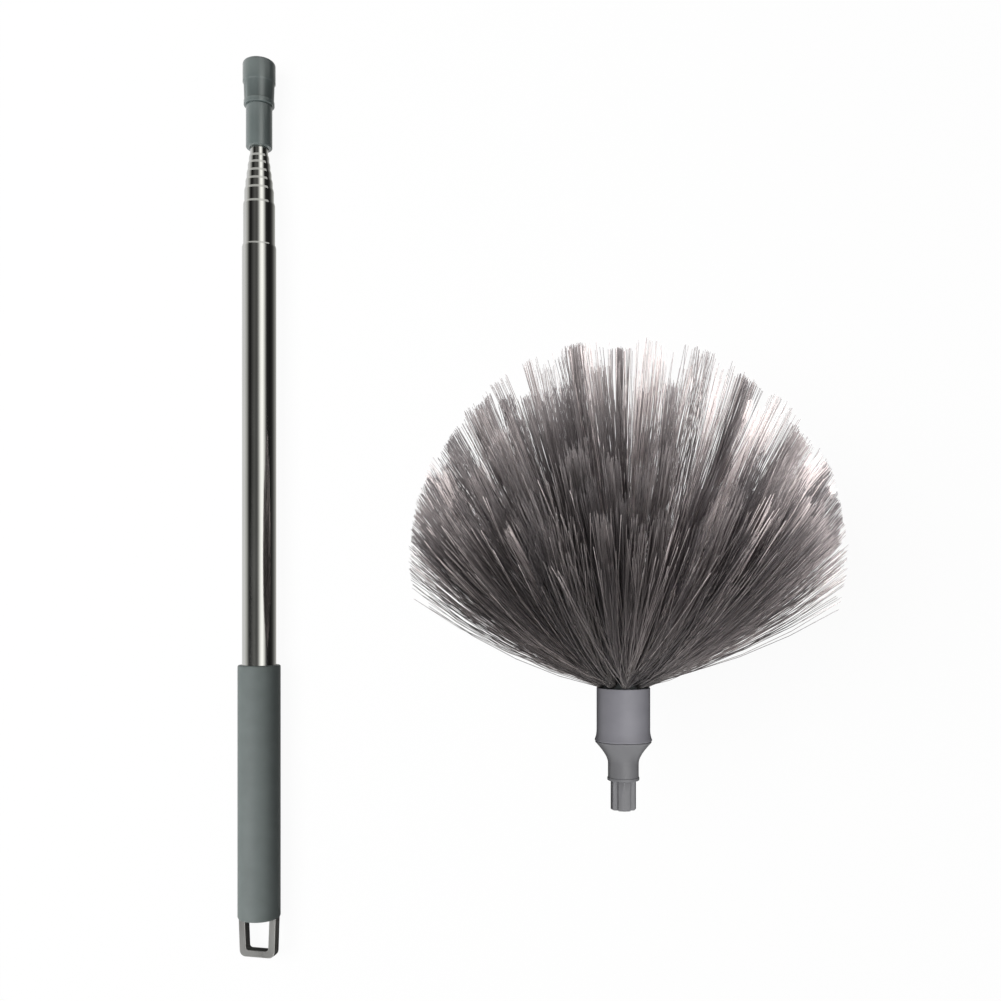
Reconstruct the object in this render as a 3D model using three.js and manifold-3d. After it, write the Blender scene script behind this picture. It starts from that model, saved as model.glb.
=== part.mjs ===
// Extendable ceiling brush: a telescopic steel pole with a moulded grip, and its pull-off brush head.
// Both lie on a table, side by side. Millimetres, +Z up, with the pole along +Y.
// The origin is on the table, under the middle of the pair's outline.

import * as THREE from "three";
import { mergeVertices } from "three/addons/utils/BufferGeometryUtils.js";
import Module from "manifold-3d";

const wasm = await Module();
wasm.setup();

// Clearances, all measured on the radius or along one direction
const seatGap = 0.3; // between a fixed piece and what it is seated on or in
const mouthGap = 0.12; // between a rolled tube mouth and the section that slides through it
const sleeveGap = 0.08; // between a friction sleeve and the steel on both sides of it

// Telescopic pole
const sectionCount = 8;
const outerTubeDiameter = 24.2;
const outerTubeLength = 467;
const tubeWall = 0.35;
const slideGap = 0.47; // from the bore of one section to the outside of the next
const standOuts = [30.5, 10.2, 6.6, 6, 6, 5.2, 5.5]; // of each section from the mouth around it, pushed in
const mouthLength = 3; // of the rolled-in end
const mouthLand = 1.2; // the straight part of that end
const flareLength = 1; // the foot that keeps a friction sleeve on its tube
const sleeveLength = 45;
const sleeveSlit = 2.5;

// Grip, with the hanging loop pressed into slots in the sides of its closed end
const gripWall = 2.75;
const gripLength = 181;
const gripEndThickness = 12;
const gripEndRound = 1.5;
const gripMouthRound = 1.2;
const loopWidth = 28.6;
const loopReach = 28; // from the grip's end to the outside of the loop's bar
const loopBar = 4.8;
const loopDepth = 7.4;
const loopCorner = 4.5;
const loopTaper = 1; // how much each leg leans in by the bar
const legSeat = 9.5; // how far a leg runs into the grip
const loopTurn = 12.6; // degrees about the pole

// Plug that closes the bottom of the outer tube and carries the pushed-in sections
const plugFlange = 2;
const plugReach = 28.5; // into the tube
const plugWall = 2;

// Socket on the innermost section
const socketSleeveLength = 30;
const socketSleeveWall = 2.66;
const spigotLength = 9;
const spigotWall = 1.9;
const collarWaistLength = 16.5;
const collarRingLength = 15;
const collarWaistWall = 1.64;
const collarWaistTaper = 0.35; // how much the waist widens upwards
const collarRingWall = 3.6;
const collarLedge = 1.2;
const collarRound = 2.6;
const socketWeb = 1.7;
const socketGap = 0.3; // around the plug of the head

// Brush head: cross plug, neck, cone, block and bristles
const crossDiameter = 15.4;
const crossLobe = 7.6;
const crossLength = 18;
const neckDiameter = 18.6;
const neckLength = 10.3;
const neckRim = 0.4;
const neckRimLength = 1.6;
const coneHeight = 12.8;
const coneBend = 4.6; // height above the neck at which its side would turn, if it had a corner
const coneTopDiameter = 34;
const coneLip = 0.6;
const blockDiameter = 32.4;
const blockHeight = 32.3;
const blockFlare = 1.2; // of its foot, on the radius
const blockFlareLength = 6.5;
const blockFootEdge = 0.5;
const blockRim = 1;
const recessDepth = 4;
const spigotDiameter = 12.2;
const spigotHeight = 12;
const screwDiameter = 4.2;
const screwHeadDiameter = 8.4;
const screwHeadHeight = 3;
const screwLength = 22;
const screwWeb = 9; // of the block, clamped between screw head and stem

// Bristles, cut to a ball that the head rests on
const domeDiameter = 261;
const domeHeight = 211.5; // from the block's rim to the top of the bristles
const crownRadius = 19; // of the round top that the tufts stand on
const strandRadius = 0.36;
const strandTipShare = 0.75;
const strandSunk = 0.8; // length of each strand inside the crown
const centreTuftRadius = 2.4;
const innerTuftRadius = 2.4;
const outerTuftRadius = 2.05;
const crownRings = [
  { name: "bristles_centre", tufts: 1, strands: 14, tuftRadius: centreTuftRadius, lean: [0, 12], bow: 0 },
  { name: "bristles_inner_row", tufts: 6, strands: 16, tuftRadius: innerTuftRadius, lean: [15, 40], bow: 0 },
  { name: "bristles_outer_row", tufts: 10, strands: 23, tuftRadius: outerTuftRadius, lean: [43, 67], bow: 8 },
]; // lean and bow in degrees; a bowed strand starts wider than it ends
const tuftWeb = 0.35; // of the crown outside each row of tufts
const rootWeb = 0.9; // of the crown inside each row, where the strands slant in

// Layout on the table
const headSpacing = 248; // between the axes of the pole and the head
const headSetback = 129.3; // from the loop's end to the tip of the plug

const turnedSides = 24;
const arcSteps = 5;

// Materials
const steel = new THREE.MeshStandardMaterial({ color: 0xc9cac6, roughness: 0.12, metalness: 1 });
const platedLoop = new THREE.MeshStandardMaterial({ color: 0xc4c4bf, roughness: 0.25, metalness: 1 });
const gripPlastic = new THREE.MeshStandardMaterial({ color: 0x727a79, roughness: 0.55, metalness: 0 });
const socketPlastic = new THREE.MeshStandardMaterial({ color: 0x6b7473, roughness: 0.45, metalness: 0 });
const sleevePlastic = new THREE.MeshStandardMaterial({ color: 0xd8d6cf, roughness: 0.5, metalness: 0 });
const plugPlastic = new THREE.MeshStandardMaterial({ color: 0x3c3f40, roughness: 0.6, metalness: 0 });
const blockPlastic = new THREE.MeshStandardMaterial({ color: 0x85848a, roughness: 0.5, metalness: 0 });
const stemPlastic = new THREE.MeshStandardMaterial({ color: 0x717174, roughness: 0.5, metalness: 0 });
const bristlePlastic = new THREE.MeshStandardMaterial({ color: 0x5f595a, roughness: 0.6, metalness: 0 });
const screwSteel = new THREE.MeshStandardMaterial({ color: 0xa8a9aa, roughness: 0.35, metalness: 1 });

// A closed geometry as a solid that can be joined and cut
function solid(geometry) {
  const bare = geometry.clone();
  bare.deleteAttribute("normal");
  bare.deleteAttribute("uv");
  const merged = mergeVertices(bare, 1e-4);
  const triangles = [];
  for (let i = 0; i < merged.index.count; i += 3) {
    const [a, b, c] = [0, 1, 2].map((k) => merged.index.getX(i + k));
    if (a !== b && b !== c && c !== a) triangles.push(a, b, c);
  }
  const vertProperties = new Float32Array(merged.attributes.position.array);
  return new wasm.Manifold(
    new wasm.Mesh({ numProp: 3, vertProperties, triVerts: new Uint32Array(triangles) }),
  );
}

// A solid back as a three.js geometry
function geometryOf(body) {
  const { vertProperties, triVerts } = body.getMesh();
  const geometry = new THREE.BufferGeometry();
  geometry.setAttribute("position", new THREE.BufferAttribute(new Float32Array(vertProperties), 3));
  geometry.setIndex(new THREE.BufferAttribute(new Uint32Array(triVerts), 1));
  geometry.computeVertexNormals();
  return geometry;
}

function piece(name, geometry, material) {
  const mesh = new THREE.Mesh(geometry, material);
  mesh.name = name;
  return mesh;
}

// A piece turned about +Y. The outline is a ring of [radius, height] points, up the outside and down the inside.
function turned(outline) {
  const points = [...outline, outline[0]].map(([radius, height]) => new THREE.Vector2(radius, height));
  return new THREE.LatheGeometry(points, turnedSides);
}

// Points on a quarter round of an outline, from a starting angle
function quarterRound(centreRadius, centreHeight, size, from) {
  return Array.from({ length: arcSteps + 1 }, (_, step) => {
    const angle = from + (Math.PI / 2) * (step / arcSteps);
    return [centreRadius + size * Math.cos(angle), centreHeight + size * Math.sin(angle)];
  });
}

// The rounded outer edge at the foot or at the top of a turned piece
const footRound = (radius, foot, size) => quarterRound(radius - size, foot + size, size, -Math.PI / 2);
const topRound = (radius, top, size) => quarterRound(radius - size, top - size, size, 0);

function box(width, length, depth, x, y, z) {
  return new THREE.BoxGeometry(width, length, depth).translate(x, y, z);
}

// Places along the pole, with 0 at the grip's closed end
const tubeFoot = gripEndThickness + seatGap + plugFlange + seatGap;
const plugTop = tubeFoot + plugReach;
const mouths = [tubeFoot + outerTubeLength];
for (let i = 1; i < sectionCount - 1; i++) mouths.push(mouths[i - 1] + standOuts[i - 1]);
const socketFoot = mouths[sectionCount - 2] + standOuts[sectionCount - 2];
const socketTop = socketFoot + socketSleeveLength + collarWaistLength + collarRingLength + seatGap;
const sectionFoot = plugTop + seatGap;

const tubeRadius = (i) => outerTubeDiameter / 2 - i * (tubeWall + slideGap);
const gripBore = outerTubeDiameter / 2 + seatGap;
const gripRadius = gripBore + gripWall;
const socketBore = tubeRadius(sectionCount - 1) + seatGap;

// One steel section. Every mouth but the last is rolled in to guide the next section.
function sectionTube(i) {
  const radius = tubeRadius(i);
  const bore = radius - tubeWall;
  const foot = i === 0 ? tubeFoot : sectionFoot;
  const isInnermost = i === sectionCount - 1;
  const outline = [];
  if (i === 0) outline.push([radius, foot]);
  else {
    const flare = radius + slideGap - sleeveGap;
    outline.push([flare, foot], [flare, foot + flareLength], [radius, foot + flareLength]);
  }
  if (isInnermost) {
    const top = socketFoot + socketSleeveLength + spigotLength - seatGap;
    outline.push([radius, top], [bore, top]);
  } else {
    const lip = tubeRadius(i + 1) + mouthGap;
    const mouth = mouths[i];
    outline.push([radius, mouth - mouthLength], [lip + tubeWall, mouth - mouthLand]);
    outline.push([lip + tubeWall, mouth], [lip, mouth]);
    outline.push([lip, mouth - mouthLand], [bore, mouth - mouthLength]);
  }
  outline.push([bore, foot]);
  return turned(outline);
}

// Split plastic sleeve on the foot of an inner section. It grips the bore of the section around it.
function frictionSleeve(i) {
  const inner = tubeRadius(i) + sleeveGap;
  const outer = tubeRadius(i) + slideGap - sleeveGap;
  const foot = sectionFoot + flareLength + seatGap;
  const top = foot + sleeveLength;
  const ring = solid(turned([[outer, foot], [outer, top], [inner, top], [inner, foot]]));
  const slit = box(sleeveSlit, 2 * sleeveLength, outer, 0, (foot + top) / 2, outer);
  return geometryOf(ring.subtract(solid(slit)));
}

function tubePlug() {
  const body = tubeRadius(0) - tubeWall - seatGap;
  const flange = outerTubeDiameter / 2;
  const foot = gripEndThickness + seatGap;
  const inside = body - plugWall;
  return turned([
    [flange, foot],
    [flange, foot + plugFlange],
    [body, foot + plugFlange],
    [body, plugTop],
    [0, plugTop],
    [0, plugTop - plugWall],
    [inside, plugTop - plugWall],
    [inside, foot],
  ]);
}

// Moulded grip with a closed end, and a slot in each side of it for a leg of the loop
function grip() {
  const outline = [
    [0, 0],
    ...footRound(gripRadius, 0, gripEndRound),
    ...topRound(gripRadius, gripLength, gripMouthRound),
    [gripBore, gripLength],
    [gripBore, gripEndThickness],
    [0, gripEndThickness],
  ];
  let body = solid(turned(outline));
  const slotFloor = loopWidth / 2 - loopBar - seatGap;
  const slotDepth = loopDepth + 2 * seatGap;
  const slotLength = 2 * (legSeat + seatGap);
  for (const side of [-1, 1]) {
    const slot = box(gripRadius, slotLength, slotDepth, side * (slotFloor + gripRadius / 2), 0, 0);
    body = body.subtract(solid(slot));
  }
  return geometryOf(body);
}

// U-shaped metal strap. Its two legs stand in the grip's end.
function hangingLoop() {
  const outer = loopWidth / 2;
  const foot = outer - loopTaper;
  const inner = outer - loopBar;
  const innerFoot = foot - loopBar;
  const innerCorner = loopCorner - loopBar / 2;
  const barTop = loopBar - loopReach;
  const shape = new THREE.Shape();
  shape.moveTo(outer, legSeat);
  shape.lineTo(inner, legSeat);
  shape.lineTo(inner, 0);
  shape.lineTo(innerFoot, barTop + innerCorner);
  shape.quadraticCurveTo(innerFoot, barTop, innerFoot - innerCorner, barTop);
  shape.lineTo(innerCorner - innerFoot, barTop);
  shape.quadraticCurveTo(-innerFoot, barTop, -innerFoot, barTop + innerCorner);
  shape.lineTo(-inner, 0);
  shape.lineTo(-inner, legSeat);
  shape.lineTo(-outer, legSeat);
  shape.lineTo(-outer, 0);
  shape.lineTo(-foot, loopCorner - loopReach);
  shape.quadraticCurveTo(-foot, -loopReach, loopCorner - foot, -loopReach);
  shape.lineTo(foot - loopCorner, -loopReach);
  shape.quadraticCurveTo(foot, -loopReach, foot, loopCorner - loopReach);
  shape.lineTo(outer, 0);
  shape.closePath();
  const strap = new THREE.ExtrudeGeometry(shape, {
    depth: loopDepth,
    bevelEnabled: false,
    curveSegments: arcSteps,
  });
  return strap.translate(0, 0, -loopDepth / 2);
}

// Lower half of the socket, fixed on the innermost section, with a spigot for the collar
function socketSleeve() {
  const outer = socketBore + socketSleeveWall;
  const spigot = socketBore + spigotWall;
  const shoulder = socketFoot + socketSleeveLength;
  const top = shoulder + spigotLength;
  return turned([
    [socketBore, socketFoot],
    [outer, socketFoot],
    [outer, shoulder],
    [spigot, shoulder],
    [spigot, top],
    [socketBore, top],
  ]);
}

// Upper half of the socket: a stepped collar, pressed on the spigot, that takes the plug of the head
function socketCollar() {
  const foot = socketFoot + socketSleeveLength + seatGap;
  const seat = socketBore + spigotWall + seatGap;
  const web = foot + spigotLength;
  const bore = crossDiameter / 2 + socketGap;
  const waist = seat + collarWaistWall;
  const ring = bore + collarRingWall;
  const ledge = foot + collarWaistLength;
  return turned([
    [seat, foot],
    [waist, foot],
    [waist + collarWaistTaper, ledge - collarLedge],
    [ring, ledge],
    ...topRound(ring, socketTop, collarRound),
    [bore, socketTop],
    [bore, web + socketWeb],
    [0, web + socketWeb],
    [0, web],
    [seat, web],
  ]);
}

// Places along the head, with 0 at the block's rim and the bristles towards +Y
const stemTop = -blockHeight - seatGap;
const neckTop = stemTop - coneLip - coneHeight;
const neckFoot = neckTop - neckLength;
const crossFoot = neckFoot - crossLength;
const spigotTop = -blockHeight + spigotHeight;
const screwSeat = spigotTop + screwWeb;
const screwBore = screwDiameter / 2 + seatGap;
const recessRadius = blockDiameter / 2 - blockRim;

function brushBlock() {
  const outer = blockDiameter / 2;
  const foot = outer + blockFlare;
  const spigotBore = spigotDiameter / 2 + seatGap;
  const headBore = screwHeadDiameter / 2 + seatGap;
  return turned([
    [spigotBore, -blockHeight],
    [foot - blockFootEdge, -blockHeight],
    [foot, -blockHeight + blockFootEdge],
    [outer + blockFlare / 4, -blockHeight + blockFlareLength / 2],
    [outer, -blockHeight + blockFlareLength],
    [outer, 0],
    [recessRadius, 0],
    [recessRadius, -recessDepth],
    [headBore, -recessDepth],
    [headBore, screwSeat],
    [screwBore, screwSeat],
    [screwBore, spigotTop + seatGap],
    [spigotBore, spigotTop + seatGap],
  ]);
}

// Stem of the head: spigot in the block, hollow-sided cone, neck, and a cross plug for the socket
function stem() {
  const cone = coneTopDiameter / 2;
  const neck = neckDiameter / 2;
  const rim = neck + neckRim;
  const hollow = new THREE.QuadraticBezierCurve(
    new THREE.Vector2(neck, neckTop),
    new THREE.Vector2(neck, neckTop + coneBend),
    new THREE.Vector2(cone, neckTop + coneHeight),
  );
  const screwEnd = screwSeat - screwLength - seatGap;
  const body = turned([
    [0, neckFoot],
    [rim, neckFoot],
    [rim, neckFoot + neckRimLength],
    [neck, neckFoot + neckRimLength + neckRim],
    ...hollow.getPoints(arcSteps).map(({ x, y }) => [x, y]),
    [cone, stemTop],
    [spigotDiameter / 2, stemTop],
    [spigotDiameter / 2, spigotTop],
    [screwBore, spigotTop],
    [screwBore, screwEnd],
    [0, screwEnd],
  ]);
  return geometryOf(solid(body).add(solid(crossPlug())));
}

// Four wide lobes with round ends, from inside the neck down to the tip
function crossPlug() {
  const outer = crossDiameter / 2;
  const half = crossLobe / 2;
  const spread = Math.asin(half / outer);
  const shape = new THREE.Shape();
  for (let quarter = 0; quarter < 4; quarter++) {
    const turn = (quarter * Math.PI) / 2;
    const corner = turn - Math.PI / 4;
    const cornerReach = half * Math.SQRT2;
    const [x, y] = [cornerReach * Math.cos(corner), cornerReach * Math.sin(corner)];
    if (quarter === 0) shape.moveTo(x, y);
    else shape.lineTo(x, y);
    shape.absarc(0, 0, outer, turn - spread, turn + spread, false);
  }
  shape.closePath();
  const rooted = crossLength + neckRimLength;
  const lobes = new THREE.ExtrudeGeometry(shape, {
    depth: rooted,
    bevelEnabled: false,
    curveSegments: arcSteps,
  });
  return lobes.rotateX(-Math.PI / 2).translate(0, crossFoot, 0);
}

function hubScrew() {
  const shank = screwDiameter / 2;
  const head = screwHeadDiameter / 2;
  const seat = screwSeat + seatGap;
  return turned([
    [0, seat - screwLength],
    [shank / 2, seat - screwLength],
    [shank, seat - screwLength + shank],
    [shank, seat],
    [head, seat],
    [head, seat + screwHeadHeight / 2],
    [head / 2, seat + screwHeadHeight],
    [0, seat + screwHeadHeight],
  ]);
}

// Height of the round crown above the block's rim
const crownEdge = recessRadius - seatGap;
const crownCentre = -Math.sqrt(crownRadius ** 2 - crownEdge ** 2);
const crownHeight = (radius) => crownCentre + Math.sqrt(crownRadius ** 2 - radius ** 2);

// Rows of tufts share the crown from its middle to its edge, each in its own ring of it
function crownRows() {
  let inner = 0;
  return crownRings.map((row, index) => {
    const isLast = index === crownRings.length - 1;
    const isCentre = row.tufts === 1;
    const needed = isCentre ? row.tuftRadius : rootWeb + 2 * row.tuftRadius;
    const outer = isLast ? crownEdge : inner + needed + tuftWeb;
    const tuftAt = isCentre ? 0 : outer - tuftWeb - row.tuftRadius;
    const made = { ...row, inner, outer, tuftAt };
    inner = outer + seatGap;
    return made;
  });
}

// Height of a slice's flat-sided top
function sliceHeight({ inner, outer }, radius) {
  return THREE.MathUtils.mapLinear(radius, inner, outer, crownHeight(inner), crownHeight(outer));
}

// A ring-shaped slice of the crown
function crownSlice({ inner, outer }) {
  const foot = seatGap - recessDepth;
  return turned([
    [inner, foot],
    [outer, foot],
    [outer, crownHeight(outer)],
    [inner, crownHeight(inner)],
  ]);
}

// Length from the middle of the block's rim to the ball of tips, in a direction that leans from the axis
function reach(lean) {
  const ball = domeDiameter / 2;
  const centre = domeHeight - ball;
  return centre * Math.cos(lean) + Math.sqrt(ball ** 2 - (centre * Math.sin(lean)) ** 2);
}

// A direction or a place about the head's axis
function about(radius, height, turn) {
  return new THREE.Vector3(radius * Math.sin(turn), height, radius * Math.cos(turn));
}

// The bowed line of one strand. across and along run from -1 to 1 over its tuft.
function strandLine(row, tuft, across, along) {
  const share = (2 * Math.PI) / row.tufts;
  const [leanFrom, leanTo] = row.lean.map(THREE.MathUtils.degToRad);
  const isCentre = row.tufts === 1;
  const rootX = row.tuftRadius * across;
  const rootY = row.tuftAt + row.tuftRadius * along;
  const rootRadius = Math.hypot(rootX, rootY);
  const rootTurn = tuft * share + Math.atan2(rootX, rootY);
  const lean = isCentre
    ? leanTo * Math.hypot(across, along)
    : (leanFrom + leanTo) / 2 + ((leanTo - leanFrom) / 2) * along;
  const tipTurn = isCentre ? rootTurn : tuft * share + (share / 2) * across;
  const tip = about(reach(lean) * Math.sin(lean), reach(lean) * Math.cos(lean), tipTurn);
  const root = about(rootRadius, sliceHeight(row, rootRadius), rootTurn);
  const start = lean + THREE.MathUtils.degToRad(row.bow);
  const slant = about(Math.sin(start), Math.cos(start), tipTurn);
  const heading = row.bow > 0 ? slant : tip.clone().sub(root).normalize();
  const sunk = root.clone().addScaledVector(heading, -strandSunk);
  if (row.bow === 0) return new THREE.LineCurve3(sunk, tip);
  const bend = root.clone().addScaledVector(heading, root.distanceTo(tip) / 2);
  return new THREE.QuadraticBezierCurve3(sunk, bend, tip);
}

// One strand, three-sided and tapering
function strand(line) {
  const sides = 3;
  const steps = line.isLineCurve3 ? 1 : 2;
  const places = [];
  const triangles = [];
  for (let step = 0; step <= steps; step++) {
    const t = step / steps;
    const ahead = line.getTangent(t);
    const aside = new THREE.Vector3(ahead.z, 0, -ahead.x).normalize();
    const up = new THREE.Vector3().crossVectors(ahead, aside);
    const radius = strandRadius * (1 + (strandTipShare - 1) * t);
    for (let side = 0; side < sides; side++) {
      const angle = (2 * Math.PI * side) / sides;
      const corner = line.getPoint(t);
      corner.addScaledVector(aside, radius * Math.cos(angle));
      corner.addScaledVector(up, radius * Math.sin(angle));
      places.push(...corner.toArray());
    }
  }
  for (let step = 0; step < steps; step++) {
    for (let side = 0; side < sides; side++) {
      const [a, b] = [side, (side + 1) % sides].map((corner) => step * sides + corner);
      triangles.push(a, b, b + sides, a, b + sides, a + sides);
    }
  }
  const last = steps * sides;
  triangles.push(0, 2, 1, last, last + 1, last + 2);
  const geometry = new THREE.BufferGeometry();
  geometry.setAttribute("position", new THREE.Float32BufferAttribute(places, 3));
  geometry.setIndex(triangles);
  return geometry;
}

// A slice of the crown with all the strands of its tufts, spread evenly over each tuft
function bristleRow(row) {
  const goldenTurn = Math.PI * (3 - Math.sqrt(5));
  const bodies = [solid(crownSlice(row))];
  for (let tuft = 0; tuft < row.tufts; tuft++) {
    for (let k = 0; k < row.strands; k++) {
      const spread = Math.sqrt((k + 0.5) / row.strands);
      const turn = k * goldenTurn + tuft;
      const line = strandLine(row, tuft, spread * Math.sin(turn), spread * Math.cos(turn));
      bodies.push(solid(strand(line)));
    }
  }
  return geometryOf(wasm.Manifold.union(bodies));
}

// The pole: the outer tube with its grip, and each section inside the one before
function pole() {
  const group = new THREE.Group();
  const handle = new THREE.Group();
  handle.rotation.y = -THREE.MathUtils.degToRad(loopTurn);
  handle.add(piece("grip", grip(), gripPlastic));
  handle.add(piece("hanging_loop", hangingLoop(), platedLoop));
  group.add(handle, piece("tube_plug", tubePlug(), plugPlastic));
  let holder = group;
  for (let i = 0; i < sectionCount; i++) {
    const section = new THREE.Group();
    const name = i === 0 ? "outer_tube" : `section_tube_${i + 1}`;
    section.add(piece(name, sectionTube(i), steel));
    if (i > 0) section.add(piece(`friction_sleeve_${i + 1}`, frictionSleeve(i), sleevePlastic));
    holder.add(section);
    holder = section;
  }
  holder.add(piece("socket_sleeve", socketSleeve(), socketPlastic));
  holder.add(piece("socket_collar", socketCollar(), socketPlastic));
  return group;
}

function head() {
  const group = new THREE.Group();
  group.add(piece("brush_block", brushBlock(), blockPlastic));
  group.add(piece("head_stem", stem(), stemPlastic));
  group.add(piece("hub_screw", hubScrew(), screwSteel));
  for (const row of crownRows()) group.add(piece(row.name, bristleRow(row), bristlePlastic));
  return group;
}

const brush = new THREE.Group();
const middleX = (headSpacing + domeDiameter / 2 - gripRadius) / 2;
const middleY = (socketTop - loopReach) / 2;
const poleGroup = pole();
poleGroup.position.set(-middleX, -middleY, gripRadius);
const headGroup = head();
headGroup.position.set(headSpacing - middleX, headSetback - loopReach - crossFoot - middleY, domeDiameter / 2);
brush.add(poleGroup, headGroup);

export default brush;
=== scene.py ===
"""Looks of an extendable ceiling brush: a telescopic steel pole and, beside it, its domed brush head."""

import math

import bpy
import numpy as np
from mathutils import Matrix, Vector


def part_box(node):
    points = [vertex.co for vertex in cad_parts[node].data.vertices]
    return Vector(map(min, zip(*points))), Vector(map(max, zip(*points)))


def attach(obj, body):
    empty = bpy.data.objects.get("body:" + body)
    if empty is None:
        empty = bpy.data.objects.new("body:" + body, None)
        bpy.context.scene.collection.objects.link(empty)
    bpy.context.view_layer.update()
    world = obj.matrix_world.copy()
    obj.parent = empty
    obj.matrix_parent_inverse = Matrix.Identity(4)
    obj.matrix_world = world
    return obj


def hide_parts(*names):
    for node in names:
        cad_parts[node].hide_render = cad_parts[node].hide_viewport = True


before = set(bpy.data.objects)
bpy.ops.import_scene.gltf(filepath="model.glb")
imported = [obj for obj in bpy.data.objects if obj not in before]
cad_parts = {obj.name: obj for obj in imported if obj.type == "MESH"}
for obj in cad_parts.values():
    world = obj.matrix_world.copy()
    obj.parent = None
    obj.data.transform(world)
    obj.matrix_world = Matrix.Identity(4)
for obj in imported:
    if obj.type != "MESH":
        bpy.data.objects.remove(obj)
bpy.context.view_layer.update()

MM = 0.001
TURNED_SIDES = 128
FILLET_STEPS = 6
SHARP_ANGLE = 35  # degrees; edges that turn by more aren't shaded smooth

# Telescopic pole
TUBES = ["outer_tube"] + [f"section_tube_{i}" for i in range(2, 9)]
TUBE_WALL = 0.35 * MM
FLARE = 0.39 * MM  # of a section's foot over its tube
FLARE_LENGTH = 1 * MM
MOUTH_GAP = 0.12 * MM
MOUTH_ROLL = 1.7 * MM  # length of the turned-in end
MOUTH_EDGE = 0.1 * MM
MOUTH_LAND = 1.2 * MM

# Grip and hanging loop
GRIP_END = 12 * MM  # thickness of the closed end
GRIP_END_ROUND = 1.5 * MM
GRIP_MOUTH_ROUND = 1.2 * MM
SEAT_GAP = 0.3 * MM
LOOP_WIDTH = 28.6 * MM
LOOP_BAR = 4.8 * MM
LOOP_DEPTH = 7.4 * MM
LOOP_CORNER = 4.5 * MM
LOOP_TAPER = 1 * MM
LOOP_EDGE = 0.35 * MM
LOOP_EDGE_STEPS = 3
LOOP_EDGE_ANGLE = 40  # degrees
LOOP_TURN = math.radians(12.6)

# Socket on the innermost section
SPIGOT_LENGTH = 9 * MM
SPIGOT_WALL = 1.9 * MM
SOCKET_EDGE = 0.5 * MM
SLEEVE_FOOT_EDGE = 0.9 * MM
SOCKET_WEB = 1.7 * MM
WAIST_LENGTH = 16.5 * MM
WAIST_WALL = 1.64 * MM
WAIST_TAPER = 0.35 * MM
WAIST_BAND = 0.35 * MM  # how far the band at its foot stands out
WAIST_BAND_LENGTH = 3.2 * MM
COLLAR_WALL = 3.6 * MM
COLLAR_LEDGE = 1.2 * MM
COLLAR_ROUND = 2.6 * MM

# Brush head
PLUG_DIAMETER = 15.4 * MM
PLUG_LOBE = 7.6 * MM
PLUG_LENGTH = 18 * MM
PLUG_EDGE = 0.6 * MM
PLUG_TIP_SHARES = (0.9, 0.96)  # of its width, at the tip and a third up its soft edge
NECK_DIAMETER = 18.6 * MM
NECK_LENGTH = 10.3 * MM
NECK_RIM = 0.4 * MM
NECK_RIM_LENGTH = 1.6 * MM
CONE_HEIGHT = 12.8 * MM
CONE_BEND = 4.6 * MM
CONE_LIP = 0.6 * MM
SPIGOT_DIAMETER = 12.2 * MM
SCREW_BORE = 4.8 * MM
SCREW_HEAD_BORE = 9 * MM
SCREW_WEB = 9 * MM
SCREW_LENGTH = 22 * MM
BLOCK_FLARE = 1.2 * MM  # of its foot, on the radius
BLOCK_FLARE_LENGTH = 6.5 * MM
BLOCK_FOOT_EDGE = 0.5 * MM
BLOCK_RIM = 1 * MM
BLOCK_EDGE = 0.5 * MM
RECESS_DEPTH = 4 * MM

# Bristles: tips on a ball, roots in tufts on a round crown
DOME_RADIUS = 130.5 * MM
DOME_HEIGHT = 211.5 * MM
CROWN_RADIUS = 19 * MM
STRAND_RADIUS = 0.19 * MM
STRAND_TIP_SHARE = 0.85
STRAND_SUNK = 1 * MM
STRAND_STEPS = 4
TUFT_RADIUS = 2.7 * MM
LEAN_LIMIT = 69  # degrees
FINE_STRANDS = 0.3  # share of the strands that a fine lock has; it is longer too, and painted paler as a painted highlight
FINE_PAINTED_HIGHLIGHT = 0.33
SPLAYED_STRANDS = 0.3  # the same for the lowest locks, which spread out; they too are painted paler as a painted highlight
SPLAYED_PAINTED_HIGHLIGHT = 0.24
LOCK_WIDTH = (0.8, 1.9)  # degrees, from the narrowest lock to the widest
SPLAYED_WIDER = 3
TUFT_SHIFT = 0.37  # share of a tuft that its locks are moved on by, tuft after tuft
LEAST_SINE = 0.1  # keeps locks near the axis from spreading all round it
FINE_UNEVEN = 0.005  # spread of lengths from lock to lock, for fine ones
STRAND_UNEVEN = 0.009  # the same within a lock
LOCK_BOW, LOCK_SWAY = 2, 4  # degrees of spread from lock to lock
STRAND_BEND = 1  # degrees of spread within a lock
LOCK_TONE, LOCK_TONE_SPREAD = 0.42, 0.2
STRAND_TONE_SPREAD = 0.09
STRAND_CORNERS = (0, 120, 240)  # degrees
STRAND_SHARP = 130  # degrees
BRISTLE_SEED = 11
ROWS = {
    "bristles_centre": dict(
        tufts=1, ring=0 * MM, locks=7, strands=62, lean=(0, 14),
        bow=0, fine=0.5, uneven=0.05, splayed=0),
    "bristles_inner_row": dict(
        tufts=6, ring=6.35 * MM, locks=11, strands=78, lean=(12, 43),
        bow=2, fine=0.5, uneven=0.05, splayed=0),
    "bristles_outer_row": dict(
        tufts=10, ring=12.5 * MM, locks=20, strands=39, lean=(41, 63.5),
        bow=10, fine=0.15, uneven=0.03, splayed=7),
}
TONE_AND_HIGHLIGHT_FACTORS = [  # what a strand's colour is multiplied by, along its tone; the high end, up to four times, is a painted highlight on the pale locks
    (0.0, (0.35, 0.35, 0.37)), (0.5, (0.95, 0.95, 0.96)), (0.8, (1.7, 1.68, 1.66)), (1.0, (4, 3.95, 3.9)),
]

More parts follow.
